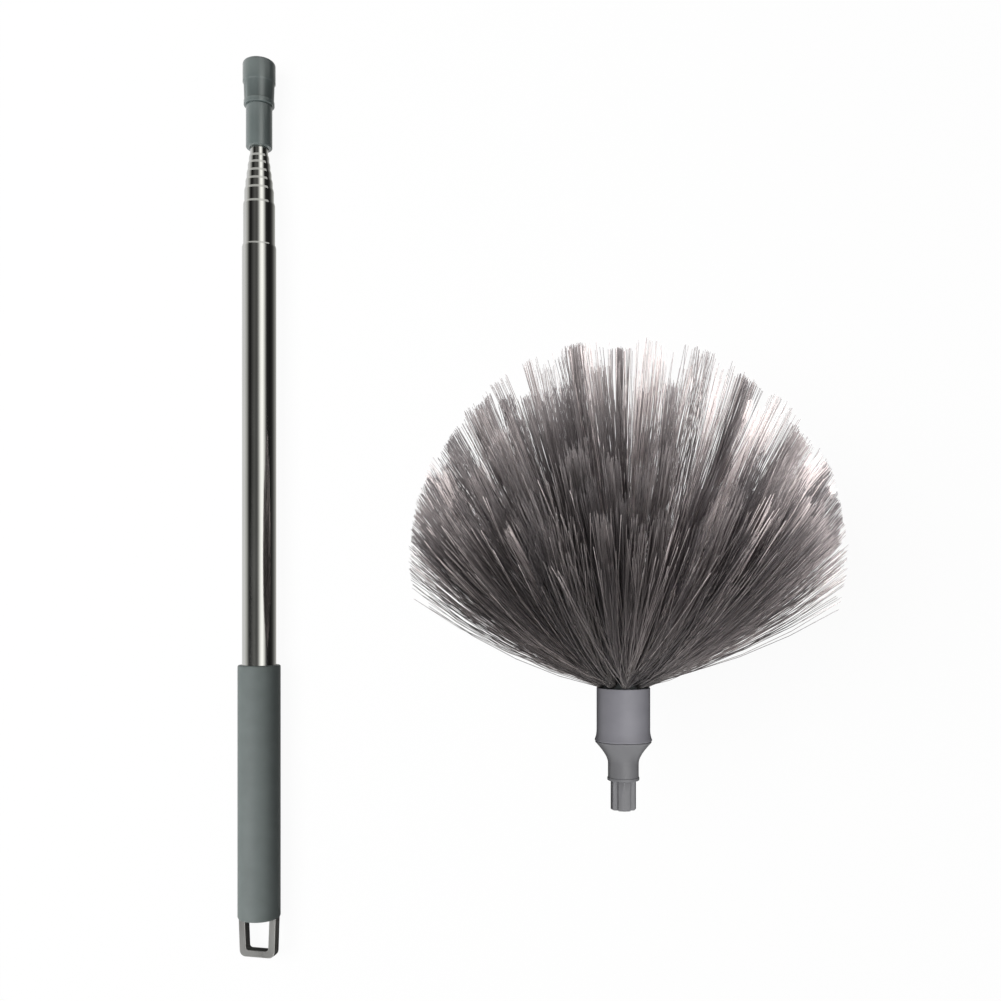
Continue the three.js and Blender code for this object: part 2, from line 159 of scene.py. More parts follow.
# The photograph's view, straight down. Its vanishing point lies below the middle of the picture.
IMAGE_SIDE = 1001  # pixels
FOCAL_LENGTH = 1050  # pixels
SENSOR = 36  # millimetres
CAMERA_HEIGHT = 754 * MM  # above the pole's axis
CAMERA_FROM_POLE = 173.3 * MM
CAMERA_Y = -58 * MM
PICTURE_Y = 6.3 * MM  # the middle of the picture, at the pole's axis


def middle(node):
    low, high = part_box(node)
    return (low + high) / 2


pole_axis = (middle("outer_tube").x, middle("outer_tube").z)
head_axis = (middle("brush_block").x, middle("brush_block").z)
rim_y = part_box("brush_block")[1].y
block_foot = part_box("brush_block")[0].y
block_radius = (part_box("brush_block")[1].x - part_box("brush_block")[0].x) / 2 - BLOCK_FLARE
crown_edge = block_radius - BLOCK_RIM - SEAT_GAP


# Shapes

def mesh_object(name, vertices, faces, sharp=SHARP_ANGLE):
    mesh = bpy.data.meshes.new(name)
    mesh.from_pydata(vertices, [], faces)
    mesh.polygons.foreach_set("use_smooth", [True] * len(mesh.polygons))
    mesh.set_sharp_from_angle(angle=math.radians(sharp))
    made = bpy.data.objects.new(name, mesh)
    bpy.context.scene.collection.objects.link(made)
    return made


def arc(centre, radius, start, end):
    """Points on a circle, from one angle to another in degrees."""
    angles = np.radians(np.linspace(start, end, FILLET_STEPS + 1))
    return [(centre[0] + radius * math.cos(a), centre[1] + radius * math.sin(a)) for a in angles]


def rounded(corners):
    """A closed outline of (x, y, fillet) corners, with each corner rounded by its fillet."""
    points = []
    for k, (x, y, fillet) in enumerate(corners):
        here = Vector((x, y))
        if fillet == 0:
            points.append((x, y))
            continue
        back = (Vector(corners[k - 1][:2]) - here).normalized()
        ahead = (Vector(corners[(k + 1) % len(corners)][:2]) - here).normalized()
        half = back.angle(ahead) / 2
        centre = here + (back + ahead).normalized() * (fillet / math.sin(half))
        reach = fillet / math.tan(half)
        first, last = here + back * reach - centre, here + ahead * reach - centre
        start = math.degrees(math.atan2(first.y, first.x))
        sweep = math.degrees(math.atan2(first.x * last.y - first.y * last.x, first.dot(last)))
        points += arc(centre, fillet, start, start + sweep)
    return points


def turned(name, outline, axis):
    """A closed piece turned about a line along Y. The outline runs up the outside and down the inside."""
    vertices, rings, faces = [], [], []
    turns = np.linspace(0, 2 * math.pi, TURNED_SIDES, endpoint=False)
    for radius, y in outline:
        first = len(vertices)
        if radius < 1e-7:
            rings.append([first] * TURNED_SIDES)
            vertices.append((axis[0], y, axis[1]))
        else:
            rings.append(range(first, first + TURNED_SIDES))
            vertices += [(axis[0] + radius * math.sin(t), y, axis[1] + radius * math.cos(t)) for t in turns]
    for lower, upper in zip(rings, rings[1:] + rings[:1]):
        for k in range(TURNED_SIDES):
            n = (k + 1) % TURNED_SIDES
            corners = list(dict.fromkeys([lower[k], lower[n], upper[n], upper[k]]))
            if len(corners) > 2:
                faces.append(corners)
    return mesh_object(name, vertices, faces)


def loft(name, outlines, place):
    """A closed piece through like outlines, one above the other. place turns (x, y, level) into a point."""
    count = len(outlines[0][1])
    vertices = [place(x, y, level) for level, outline in outlines for x, y in outline]
    faces = [list(range(count))[::-1], list(range(len(vertices) - count, len(vertices)))]
    for step in range(len(outlines) - 1):
        for k in range(count):
            a, b = step * count + k, step * count + (k + 1) % count
            faces.append([a, b, b + count, a + count])
    return mesh_object(name, vertices, faces)


def joined(piece, tool, operation):
    """Cuts a tool out of a piece, or fuses it to the piece, and removes the tool."""
    modifier = piece.modifiers.new("joined", "BOOLEAN")
    modifier.operation = operation
    modifier.object = tool
    bpy.context.view_layer.update()
    evaluated = piece.evaluated_get(bpy.context.evaluated_depsgraph_get())
    mesh = bpy.data.meshes.new_from_object(evaluated)
    piece.modifiers.clear()
    piece.data = mesh
    bpy.data.objects.remove(tool)
    mesh.set_sharp_from_angle(angle=math.radians(SHARP_ANGLE))
    return piece


# Materials

def shade(name, roughness, metallic=0.0):
    """A new material, with its nodes, its links and its main shader."""
    material = bpy.data.materials.new(name)
    material.use_nodes = True
    tree = material.node_tree
    shader = tree.nodes["Principled BSDF"]
    shader.inputs["Roughness"].default_value = roughness
    shader.inputs["Metallic"].default_value = metallic
    return material, tree, shader


def noise(tree, scale, stretch=(1, 1, 1), detail=3):
    """Noise fixed to the piece, with its size in metres and its stretch along each axis."""
    place = tree.nodes.new("ShaderNodeTexCoord")
    mapping = tree.nodes.new("ShaderNodeMapping")
    texture = tree.nodes.new("ShaderNodeTexNoise")
    mapping.inputs["Scale"].default_value = [1 / (scale * s) for s in stretch]
    texture.inputs["Scale"].default_value = 1
    texture.inputs["Detail"].default_value = detail
    tree.links.new(place.outputs["Object"], mapping.inputs["Vector"])
    tree.links.new(mapping.outputs["Vector"], texture.inputs["Vector"])
    return texture.outputs["Fac"]


def ramp(tree, value, stops):
    """Colours along a value, from (place, colour) stops."""
    made = tree.nodes.new("ShaderNodeValToRGB")
    elements = made.color_ramp.elements
    while len(elements) < len(stops):
        elements.new(0.5)
    for element, (place, colour) in zip(elements, stops):
        element.position = place
        element.color = (*colour, 1)
    tree.links.new(value, made.inputs["Fac"])
    return made.outputs["Color"]


def spread(tree, value, low, high, source=(0.3, 0.7)):
    """A value moved from its source range to another range."""
    made = tree.nodes.new("ShaderNodeMapRange")
    for name, number in zip(("From Min", "From Max", "To Min", "To Max"), (*source, low, high)):
        made.inputs[name].default_value = number
    tree.links.new(value, made.inputs["Value"])
    return made.outputs["Result"]


def scaled(colour, factor):
    return tuple(c * factor for c in colour)


def mixed(tree, factor, colours, other):
    """Colours that go over to one other colour by a factor."""
    made = tree.nodes.new("ShaderNodeMix")
    made.data_type = "RGBA"
    made.inputs["B"].default_value = (*other, 1)
    tree.links.new(factor, made.inputs["Factor"])
    tree.links.new(colours, made.inputs["A"])
    return made.outputs["Result"]


def bump(tree, shader, value, depth):
    made = tree.nodes.new("ShaderNodeBump")
    made.inputs["Distance"].default_value = depth
    made.inputs["Strength"].default_value = 1
    tree.links.new(value, made.inputs["Height"])
    tree.links.new(made.outputs["Normal"], shader.inputs["Normal"])


def metal(name, colour, roughness, drawn):
    """Bright metal with faint drawing lines along the pole, and smudges that dull it here and there."""
    material, tree, shader = shade(name, roughness, metallic=1.0)
    smudges = noise(tree, 18 * MM, stretch=(1, 4, 1), detail=4)
    lines = noise(tree, 0.5 * MM, stretch=(1, 160, 1), detail=2)
    colours = ramp(tree, smudges, [(0.3, scaled(colour, 0.93)), (0.7, colour)])
    tree.links.new(colours, shader.inputs["Base Color"])
    tree.links.new(spread(tree, smudges, roughness * 0.8, roughness * 1.5), shader.inputs["Roughness"])
    bump(tree, shader, lines, drawn)
    return material


def plastic(name, colour, roughness, grain, depth, specular=0.4):
    """Moulded plastic with a fine grain, cloudy colour, convex edges painted a little paler (partly wear,
    partly painted highlight) and concave corners painted darker as painted shade.
    """
    material, tree, shader = shade(name, roughness)
    shader.inputs["Specular IOR Level"].default_value = specular
    clouds = noise(tree, 14 * MM, detail=4)
    fine = noise(tree, grain, detail=2)
    body = ramp(tree, clouds, [(0.3, scaled(colour, 0.94)), (0.7, scaled(colour, 1.06))])
    edges = tree.nodes.new("ShaderNodeNewGeometry").outputs["Pointiness"]
    # convex edges painted paler: partly wear, partly a painted highlight on the rims
    worn_and_highlit_edges = mixed(tree, spread(tree, edges, 0.0, 0.6, source=(0.52, 0.6)), body, scaled(colour, 1.3))
    # concave corners painted darker: painted shade where shade falls in creases and notches
    painted_corner_shade = mixed(tree, spread(tree, edges, 0.8, 0.0, source=(0.4, 0.48)), worn_and_highlit_edges, scaled(colour, 0.45))
    tree.links.new(painted_corner_shade, shader.inputs["Base Color"])
    tree.links.new(spread(tree, fine, roughness * 0.85, roughness * 1.15), shader.inputs["Roughness"])
    bump(tree, shader, fine, depth)
    return material


def bristle(name, root, body, painted_deep_shade, tip):
    """Bristles with painted shade that darkens them along their length and painted light that pales their
    tips, each strand in its own tone, whose palest end is a painted highlight.
    """
    material, tree, shader = shade(name, 0.5)
    shader.inputs["Specular IOR Level"].default_value = 0.35
    along = tree.nodes.new("ShaderNodeAttribute")
    along.attribute_name = "along"
    tone_and_highlight = tree.nodes.new("ShaderNodeAttribute")
    tone_and_highlight.attribute_name = "tone_and_highlight"
    # along each strand: darker towards three quarters of its length, a painted shade of the dense core, and
    # paler at the tip, painted light
    colours = ramp(tree, along.outputs["Fac"], [(0.0, root), (0.4, body), (0.75, painted_deep_shade), (1.0, tip)])
    tones_and_highlight = ramp(tree, tone_and_highlight.outputs["Fac"], TONE_AND_HIGHLIGHT_FACTORS)
    toned = tree.nodes.new("ShaderNodeMix")
    toned.data_type = "RGBA"
    toned.blend_type = "MULTIPLY"
    toned.inputs["Factor"].default_value = 1
    tree.links.new(colours, toned.inputs["A"])
    tree.links.new(tones_and_highlight, toned.inputs["B"])
    tree.links.new(toned.outputs["Result"], shader.inputs["Base Color"])
    return material


steel = metal("polished_steel", (0.52, 0.52, 0.505), 0.08, 0.0004 * MM)
loop_metal = metal("loop_metal", (0.48, 0.48, 0.465), 0.34, 0.002 * MM)
screw_steel = metal("screw_steel", (0.45, 0.45, 0.46), 0.35, 0.004 * MM)
grip_plastic = plastic("grip_plastic", (0.175, 0.205, 0.2), 0.55, 0.35 * MM, 0.012 * MM)
socket_plastic = plastic("socket_plastic", (0.205, 0.245, 0.24), 0.2, 0.5 * MM, 0.003 * MM, specular=0.75)
block_plastic = plastic("block_plastic", (0.225, 0.222, 0.245), 0.42, 0.5 * MM, 0.006 * MM)
stem_plastic = plastic("stem_plastic", (0.17, 0.17, 0.178), 0.4, 0.5 * MM, 0.006 * MM)
sleeve_plastic = plastic("sleeve_plastic", (0.66, 0.65, 0.6), 0.5, 0.6 * MM, 0.01 * MM)
plug_plastic = plastic("plug_plastic", (0.045, 0.05, 0.05), 0.55, 0.6 * MM, 0.01 * MM)
# the third colour is painted shade along the strands, the last is painted light at the tips
bristle_plastic = bristle(
    "bristle", (0.2, 0.188, 0.184), (0.18, 0.161, 0.16), (0.1, 0.089, 0.089), (0.175, 0.158, 0.157))


dressed = {}  # body: its pieces


def dress(piece, body, material, slot, *nodes):
    """Gives a piece its finish, puts it on a body, and hides the CAD nodes that it stands for."""
    piece.data.materials.clear()
    piece.data.materials.append(material)
    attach(piece, body)
    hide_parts(*nodes)
    dressed.setdefault(body, []).append(piece)


# Pole

def tube_radius(index):
    low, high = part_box(TUBES[index])
    return (high.x - low.x) / 2 - (FLARE if index else 0)


def steel_tube(index):
    low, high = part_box(TUBES[index])
    radius = tube_radius(index)
    bore = radius - TUBE_WALL
    foot, mouth = low.y, high.y
    outline = [(radius, foot)]
    if index:
        wide = radius + FLARE
        outline = [(wide, foot), (wide, foot + FLARE_LENGTH), (radius, foot + FLARE_LENGTH)]
    if index == len(TUBES) - 1:
        outline += [(radius, mouth), (bore, mouth)]
    else:
        lip = tube_radius(index + 1) + MOUTH_GAP
        outline += [(radius, mouth - MOUTH_ROLL - MOUTH_EDGE), (radius, mouth - MOUTH_ROLL)]
        outline += [(lip + TUBE_WALL, mouth), (lip, mouth), (lip, mouth - MOUTH_LAND)]
        outline.append((bore, mouth - MOUTH_LAND - MOUTH_ROLL))
    outline.append((bore, foot))
    return turned(f"steel_{TUBES[index]}", outline, pole_axis)


for index, node in enumerate(TUBES):
    body = "handle" if index == 0 else f"section_{index + 1}"
    dress(steel_tube(index), body, steel, "polished_steel", node)

grip_low, grip_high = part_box("grip")
grip_radius = (grip_high.x - grip_low.x) / 2
grip_bore = tube_radius(0) + SEAT_GAP
loop_low, loop_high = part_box("hanging_loop")


def about_pole(x, y, z):
    """A point of the loop, which is turned about the pole's axis."""
    turned_x = x * math.cos(LOOP_TURN) - z * math.sin(LOOP_TURN)
    turned_z = x * math.sin(LOOP_TURN) + z * math.cos(LOOP_TURN)
    return (pole_axis[0] + turned_x, grip_low.y + y, pole_axis[1] + turned_z)


def leg_pocket(side):
    """A tool that cuts room for a leg of the loop, and leaves a thin wall outside it."""
    floor = LOOP_WIDTH / 2 - LOOP_BAR - SEAT_GAP
    left, right = sorted((side * floor, side * (LOOP_WIDTH + SEAT_GAP) / 2))
    depth = LOOP_DEPTH / 2 + SEAT_GAP
    length = loop_high.y - grip_low.y + SEAT_GAP
    corners = [(left, -length), (right, -length), (right, length), (left, length)]
    return loft("leg_pocket", [(-depth, corners), (depth, corners)], about_pole)


def grip():
    foot, top = grip_low.y, grip_high.y
    outline = rounded([
        (0, foot, 0),
        (grip_radius, foot, GRIP_END_ROUND),
        (grip_radius, top, GRIP_MOUTH_ROUND),
        (grip_bore, top, 0),
        (grip_bore, foot + GRIP_END, 0),
        (0, foot + GRIP_END, 0),
    ])
    made = turned("moulded_grip", outline, pole_axis)
    for side in (-1, 1):
        joined(made, leg_pocket(side), "DIFFERENCE")
    return made


def hanging_loop():
    outer, inner = LOOP_WIDTH / 2, LOOP_WIDTH / 2 - LOOP_BAR
    seat = loop_high.y - grip_low.y
    foot = loop_low.y - grip_low.y
    bar = foot + LOOP_BAR
    inner_corner = LOOP_CORNER - LOOP_BAR / 2
    half_loop = [
        (outer - LOOP_TAPER, foot, LOOP_CORNER),
        (outer, 0, 0),
        (outer, seat, 0),
        (inner, seat, 0),
        (inner, 0, 0),
        (inner - LOOP_TAPER, bar, inner_corner),
    ]
    mirrored = [(-x, y, fillet) for x, y, fillet in reversed(half_loop)]
    outline = rounded(half_loop + mirrored)
    made = loft("strap_loop", [(-LOOP_DEPTH / 2, outline), (LOOP_DEPTH / 2, outline)], about_pole)
    edges = made.modifiers.new("edges", "BEVEL")
    edges.width = LOOP_EDGE
    edges.segments = LOOP_EDGE_STEPS
    edges.limit_method = "ANGLE"
    edges.angle_limit = math.radians(LOOP_EDGE_ANGLE)
    return made


dress(grip(), "handle", grip_plastic, "grip_plastic", "grip")
dress(hanging_loop(), "handle", loop_metal, "loop_metal", "hanging_loop")

sleeve_low, sleeve_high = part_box("socket_sleeve")
collar_low, collar_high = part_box("socket_collar")
socket_bore = tube_radius(len(TUBES) - 1) + SEAT_GAP


def socket_sleeve():
    outer = (sleeve_high.x - sleeve_low.x) / 2
    spigot = socket_bore + SPIGOT_WALL
    shoulder = sleeve_high.y - SPIGOT_LENGTH
    outline = rounded([
        (socket_bore, sleeve_low.y, 0),
        (outer, sleeve_low.y, SLEEVE_FOOT_EDGE),
        (outer, shoulder, SOCKET_EDGE),
        (spigot, shoulder, 0),
        (spigot, sleeve_high.y, 0),
        (socket_bore, sleeve_high.y, 0),
    ])
    return turned("socket_sleeve_moulding", outline, pole_axis)


def socket_collar():
    seat = socket_bore + SPIGOT_WALL + SEAT_GAP
    waist = seat + WAIST_WALL
    band = waist + WAIST_BAND
    ring = (collar_high.x - collar_low.x) / 2
    bore = ring - COLLAR_WALL
    foot, top = collar_low.y, collar_high.y
    ledge = foot + WAIST_LENGTH
    web = foot + SPIGOT_LENGTH
    outline = rounded([
        (seat, foot, 0),
        (band, foot, SOCKET_EDGE),
        (band, foot + WAIST_BAND_LENGTH, WAIST_BAND / 2),
        (waist, foot + WAIST_BAND_LENGTH, 0),
        (waist + WAIST_TAPER, ledge - COLLAR_LEDGE, 0),
        (ring, ledge, SOCKET_EDGE),
        (ring, top, COLLAR_ROUND),
        (bore, top, SOCKET_EDGE),
        (bore, web + SOCKET_WEB, 0),
        (0, web + SOCKET_WEB, 0),
        (0, web, 0),
        (seat, web, 0),
    ])
    return turned("socket_collar_moulding", outline, pole_axis)


dress(socket_sleeve(), "section_8", socket_plastic, "socket_plastic", "socket_sleeve")
dress(socket_collar(), "section_8", socket_plastic, "socket_plastic", "socket_collar")


# Brush head

def brush_block():
    outer, foot = block_radius, block_radius + BLOCK_FLARE
    flare = []
    for t in np.linspace(0, 1, FILLET_STEPS + 1):
        radius = outer + BLOCK_FLARE * (1 - t) ** 2
        flare.append((radius, block_foot + BLOCK_FOOT_EDGE + t * (BLOCK_FLARE_LENGTH - BLOCK_FOOT_EDGE), 0))
    spigot = SPIGOT_DIAMETER / 2 + SEAT_GAP
    spigot_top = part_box("head_stem")[1].y
    screw_seat = spigot_top + SCREW_WEB
    outline = rounded([
        (spigot, block_foot, 0),
        (foot - BLOCK_FOOT_EDGE, block_foot, 0),
        *flare,
        (outer, rim_y, BLOCK_EDGE),
        (crown_edge + SEAT_GAP, rim_y, 0),
        (crown_edge + SEAT_GAP, rim_y - RECESS_DEPTH, 0),
        (SCREW_HEAD_BORE / 2, rim_y - RECESS_DEPTH, 0),
        (SCREW_HEAD_BORE / 2, screw_seat, 0),
        (SCREW_BORE / 2, screw_seat, 0),
        (SCREW_BORE / 2, spigot_top + SEAT_GAP, 0),
        (spigot, spigot_top + SEAT_GAP, 0),
    ])
    return turned("round_block", outline, head_axis)


def cross_outline(share):
    """Four wide lobes with round ends and soft corners, scaled about the middle."""
    outer, half = PLUG_DIAMETER / 2 * share, PLUG_LOBE / 2 * share
    side = math.sqrt(outer ** 2 - half ** 2)
    corners = []
    for quarter in range(4):
        spin = Matrix.Rotation(quarter * math.pi / 2, 2)
        lobe = [(half, half, PLUG_EDGE), (half, side, PLUG_EDGE), (0, outer, 0), (-half, side, PLUG_EDGE)]
        for x, y, fillet in lobe:
            corners.append((*(spin @ Vector((x, y))), fillet))
    return rounded(corners)


def cross_plug(tip, root):
    """The plug from its soft-edged tip to inside the neck."""
    end, third = PLUG_TIP_SHARES
    levels = [(tip, end), (tip + PLUG_EDGE / 3, third), (tip + PLUG_EDGE, 1), (root, 1)]
    outlines = [(level, cross_outline(share)) for level, share in levels]
    return loft("cross_plug", outlines, lambda x, y, level: (head_axis[0] + y, level, head_axis[1] + x))


def head_stem():
    low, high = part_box("head_stem")
    cone, neck = (high.x - low.x) / 2, NECK_DIAMETER / 2
    rim = neck + NECK_RIM
    neck_foot = low.y + PLUG_LENGTH
    neck_top = neck_foot + NECK_LENGTH
    stem_top = neck_top + CONE_HEIGHT + CONE_LIP
    screw_end = high.y + SCREW_WEB - SCREW_LENGTH - SEAT_GAP
    hollow = []
    for t in np.linspace(0, 1, 2 * FILLET_STEPS + 1):
        radius = neck + (cone - neck) * t ** 2
        hollow.append((radius, neck_top + 2 * t * (1 - t) * CONE_BEND + t ** 2 * CONE_HEIGHT))
    outline = arc((rim - NECK_RIM, neck_foot + NECK_RIM), NECK_RIM, -90, 0)
    outline += [(rim, neck_foot + NECK_RIM_LENGTH), (neck, neck_foot + NECK_RIM_LENGTH + NECK_RIM), *hollow]
    outline += [(cone, stem_top), (SPIGOT_DIAMETER / 2, stem_top), (SPIGOT_DIAMETER / 2, high.y)]
    outline += [(SCREW_BORE / 2, high.y), (SCREW_BORE / 2, screw_end), (0, screw_end), (0, neck_foot)]
    made = turned("plug_stem", outline, head_axis)
    return joined(made, cross_plug(low.y, neck_foot + NECK_RIM_LENGTH), "UNION")


def crown_height(radius):
    return math.sqrt(CROWN_RADIUS ** 2 - radius ** 2) - math.sqrt(CROWN_RADIUS ** 2 - crown_edge ** 2)


def brush_crown():
    """The round top of the block, which the tufts stand in."""
    foot = rim_y - RECESS_DEPTH + SEAT_GAP
    dome = [(r, rim_y + crown_height(r)) for r in np.linspace(crown_edge, 0, 2 * FILLET_STEPS)]
    return turned("brush_crown", [(0, foot), (crown_edge, foot), *dome], head_axis)


dress(brush_block(), "brush_head", block_plastic, "block_plastic", "brush_block")
dress(head_stem(), "brush_head", stem_plastic, "stem_plastic", "head_stem")
# the crown wears the dark plug plastic, not the block's: painted shade under the roots of the bristles
dress(brush_crown(), "brush_head", plug_plastic, "block_plastic")


# Bristles

def reach(lean):
    """Length from the middle of the block's rim to the ball of tips, at a lean from the axis."""
    centre = DOME_HEIGHT - DOME_RADIUS
    return centre * np.cos(lean) + np.sqrt(DOME_RADIUS ** 2 - (centre * np.sin(lean)) ** 2)


def about_head(radius, height, turn):
    """Points about the head's axis, one row each."""
    x = head_axis[0] + radius * np.sin(turn)
    z = head_axis[1] + radius * np.cos(turn)
    return np.stack([x, rim_y + height, z], 1)


def directions(lean, turn):
    return np.stack([np.sin(lean) * np.sin(turn), np.cos(lean), np.sin(lean) * np.cos(turn)], 1)


def unit(vectors):
    return vectors / np.linalg.norm(vectors, axis=-1, keepdims=True)


def lock_lines(row, tuft, lock, chance):
    """Roots, bends and tips of the strands of one lock, and the tone of each strand, with fine and splayed
    locks painted paler as a painted highlight.
    """
    splayed = lock >= row["locks"] - row["splayed"]
    fine = splayed or chance.uniform() < row["fine"]
    count = round(row["strands"] * (SPLAYED_STRANDS if splayed else FINE_STRANDS if fine else 1))
    share = 2 * math.pi / row["tufts"]
    low, high = np.cos(np.radians(row["lean"]))
    golden = (math.sqrt(5) - 1) / 2
    across = 2 * ((lock * golden + tuft * TUFT_SHIFT) % 1) - 1
    lock_lean = math.acos(low + (high - low) * (lock + 0.5) / row["locks"])
    width = math.radians(chance.uniform(*LOCK_WIDTH) * (SPLAYED_WIDER if splayed else 1))
    lean = np.clip(lock_lean + chance.normal(0, width, count), 0, math.radians(LEAN_LIMIT))
    turn_spread = chance.normal(0, width, count) / max(math.sin(lock_lean), LEAST_SINE)
    turn = tuft * share + share / 2 * across + turn_spread
    uneven = FINE_UNEVEN if fine else row["uneven"]
    cut = 1 - abs(chance.normal(0, uneven)) - abs(chance.normal(0, STRAND_UNEVEN, count))
    tips = about_head(reach(lean) * cut * np.sin(lean), reach(lean) * cut * np.cos(lean), turn)
    root_spread = TUFT_RADIUS * np.sqrt(chance.uniform(0, 1, count))
    root_turn = chance.uniform(0, 2 * math.pi, count)
    x = root_spread * np.sin(root_turn)
    y = row["ring"] + root_spread * np.cos(root_turn)
    root_radius = np.clip(np.hypot(x, y), 0, crown_edge - STRAND_RADIUS)
    heights = np.array([crown_height(r) for r in root_radius])
    roots = about_head(root_radius, heights, tuft * share + np.arctan2(x, y))
    bow = math.radians(row["bow"] + chance.normal(0, LOCK_BOW))
    bow = bow + np.radians(chance.normal(0, STRAND_BEND, count))
    sway = math.radians(chance.normal(0, LOCK_SWAY))
    sway = sway + np.radians(chance.normal(0, STRAND_BEND, count))
    heading = directions(lean + bow, turn + sway)
    bends = roots + heading * np.linalg.norm(tips - roots, axis=1, keepdims=True) / 2
    # fine and splayed locks are painted paler: a painted highlight
    painted_highlight = SPLAYED_PAINTED_HIGHLIGHT if splayed else FINE_PAINTED_HIGHLIGHT if fine else 0
    lock_tone_and_highlight = chance.normal(LOCK_TONE, LOCK_TONE_SPREAD) + painted_highlight
    tone_and_highlight = np.clip(lock_tone_and_highlight + chance.normal(0, STRAND_TONE_SPREAD, count), 0, 1)
    return roots - heading * STRAND_SUNK, bends, tips, tone_and_highlight


def bristle_row(name, row, chance):
    """All the strands of a row of tufts, as three-sided tapering bristles."""
    locks = [lock_lines(row, t, k, chance) for t in range(row["tufts"]) for k in range(row["locks"])]
    roots, bends, tips, tone_and_highlight = (np.concatenate(part) for part in zip(*locks))
    steps = np.linspace(0, 1, STRAND_STEPS + 1)[None, :, None]
    lines = (1 - steps) ** 2 * roots[:, None] + 2 * steps * (1 - steps) * bends[:, None]
    lines = lines + steps ** 2 * tips[:, None]
    ahead = unit(np.gradient(lines, axis=1))
    aside = unit(np.cross(ahead, (0, 1, 0)))
    over = np.cross(aside, ahead)
    radius = STRAND_RADIUS * (1 + (STRAND_TIP_SHARE - 1) * steps ** 2)
    sides = [lines + radius * (aside * math.cos(a) + over * math.sin(a)) for a in np.radians(STRAND_CORNERS)]
    vertices = np.stack(sides, 2)
    count, rings = vertices.shape[:2]
    numbers = np.arange(count * rings * 3).reshape(count, rings, 3)
    nexts = np.roll(numbers, -1, axis=2)
    quads = np.stack([numbers[:, :-1], nexts[:, :-1], nexts[:, 1:], numbers[:, 1:]], -1).reshape(-1, 4)
    ends = np.concatenate([numbers[:, 0, ::-1], numbers[:, -1]])
    made = mesh_object(name, vertices.reshape(-1, 3).tolist(), quads.tolist() + ends.tolist(), STRAND_SHARP)
    for label, values in {"along": np.broadcast_to(steps, (count, rings, 3)),
                          "tone_and_highlight": np.broadcast_to(tone_and_highlight[:, None, None], (count, rings, 3))}.items():
        attribute = made.data.attributes.new(label, "FLOAT", "POINT")
        attribute.data.foreach_set("value", np.ascontiguousarray(values, np.float32).ravel())
    return made


chance = np.random.default_rng(BRISTLE_SEED)
for node, row in ROWS.items():
    dress(bristle_row(f"full_{node}", row, chance), "brush_head", bristle_plastic, "bristle", node)


# Pieces inside, which keep their CAD shape

INSIDE = {f"friction_sleeve_{i}": sleeve_plastic for i in range(2, 9)}
INSIDE |= {"tube_plug": plug_plastic, "hub_screw": screw_steel}
for node, material in INSIDE.items():
    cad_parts[node].data.materials.clear()
    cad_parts[node].data.materials.append(material)


# Stage, light and camera

BACKGROUND = 1.0
AMBIENT = 0.2
FLOOR_GLOW = 0.95  # share of the floor that stays white under a shadow
TUNNEL_RADIUS = 0.9
TUNNELS = [  # front, back and paleness; the turned-in tube mouths show the pale one
    (-1.0, 0.74, 0), (0.74, 1.95, 0.7), (1.95, 4.5, 0),
]
TABLE_CARD_BACK = 1.0
TUNNEL = [  # brightness of the cards round the pole, by degrees from straight up to the right
    (-93, 0.85), (-76, 0.6), (-66, 0.2), (-57, 0.03), (-46, 0.02), (-20, 0.15), (-3, 0.11), (6, 0.28),
    (14, 0.9), (24, 1.75), (35, 1.95), (46, 1.15), (57, 0.26), (64, 0.03), (93, 0.015),
]
TABLE_CARD = [  # brightness of a card on the table, by distance to the right of the pole's axis
    (9 * MM, 0.95), (18 * MM, 0.55), (30 * MM, 0.3), (46 * MM, 0.1), (90 * MM, 0.03), (950 * MM, 0.015),
]
LOOP_CARD = [(-14 * MM, 0.03), (120 * MM, 0.03)]  # another, under the loop
LOOP_CARD_REACH = 60 * MM  # past the loop's end
CARD_HEIGHT = 0.5 * MM
CARD_COLOUR = (1, 1, 0.96, 1)
TUNNEL_STEPS = 121
FLOOR_SIDE = 4.0  # half of it
FLOOR_DROP = 0.2 * MM
FLOOR_COLOUR = (0.9, 0.9, 0.9, 1)


def background_rays(tree):
    """1 for rays that should see a white background: from the camera, or by gloss or glass."""
    path = tree.nodes.new("ShaderNodeLightPath")
    value = path.outputs["Is Camera Ray"]
    for name in ("Is Glossy Ray", "Is Transmission Ray"):
        either = tree.nodes.new("ShaderNodeMath")
        either.operation = "MAXIMUM"
        tree.links.new(value, either.inputs[0])
        tree.links.new(path.outputs[name], either.inputs[1])
        value = either.outputs[0]
    return value


def make_world():
    world = bpy.data.worlds.new("studio")
    world.use_nodes = True
    bpy.context.scene.world = world
    tree = world.node_tree
    tree.nodes.clear()
    output = tree.nodes.new("ShaderNodeOutputWorld")
    blend = tree.nodes.new("ShaderNodeMixShader")
    for slot, strength in ((1, AMBIENT), (2, BACKGROUND)):
        light = tree.nodes.new("ShaderNodeBackground")
        light.inputs["Color"].default_value = (1, 1, 1, 1)
        light.inputs["Strength"].default_value = strength
        tree.links.new(light.outputs[0], blend.inputs[slot])
    tree.links.new(background_rays(tree), blend.inputs[0])
    tree.links.new(blend.outputs[0], output.inputs["Surface"])


